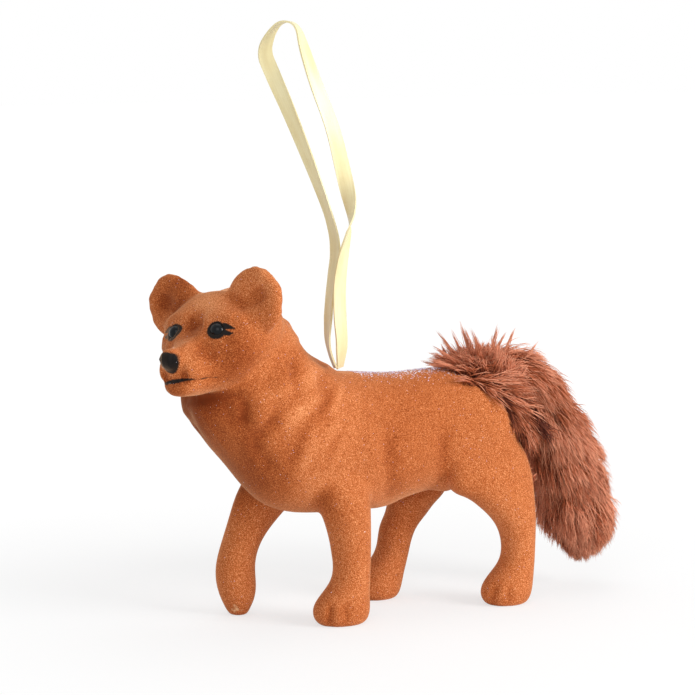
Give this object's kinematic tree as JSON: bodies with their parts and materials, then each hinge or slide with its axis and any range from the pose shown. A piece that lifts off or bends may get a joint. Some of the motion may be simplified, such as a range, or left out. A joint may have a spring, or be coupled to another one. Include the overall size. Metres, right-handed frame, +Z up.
{
  "type": "fox figurine",
  "caption": "Walking fox figurine with a flocked body, turned head, bead eyes, a fur tail on a soft wire and a ribbon loop on its back; stands on its feet or hangs as an ornament.",
  "frame": {"origin": "centre of the figure's box, ribbon left out, at the floor that the paws stand on", "axes": "+X from the nose towards the tail, +Y towards the fox's right side, +Z up"},
  "size_m": [0.1384, 0.039, 0.1547],
  "materials": {
    "flock": "flocked plastic moulding",
    "eye": "black glossy bead",
    "dowel": "plain round stick",
    "wire": "soft annealed wire",
    "fur": "faux fur pile",
    "ribbon": "cream-gold satin"
  },
  "bodies": {
    "figure": {"torso_shell_left": "flock", "torso_shell_right": "flock", "head_shell_left": "flock", "head_shell_right": "flock", "leg_front_left": "flock", "leg_front_right": "flock", "leg_hind_left": "flock", "leg_hind_right": "flock", "ear_left": "flock", "ear_right": "flock", "eye_left": "eye", "eye_right": "eye", "tail_dowel": "dowel", "ribbon_knot": "ribbon"},
    "tail": {"tail_wire": "wire", "tail_fur": "fur"},
    "ribbon": {"ribbon_loop": "ribbon"}
  },
  "joints": [
    {"name": "tail_lift", "type": "hinge", "parent": "figure", "child": "tail", "pos_m": [0.03306, 0.00108, 0.06142], "axis": [0, -1, 0], "range_deg": [0, 30]},
    {"name": "ribbon_swing", "type": "hinge", "parent": "figure", "child": "ribbon", "pos_m": [-0.01469, 0.00108, 0.06452], "axis": [0, 1, 0], "range_deg": [-20, 40], "stiffness_Nm_per_rad": 0.002}
  ]
}
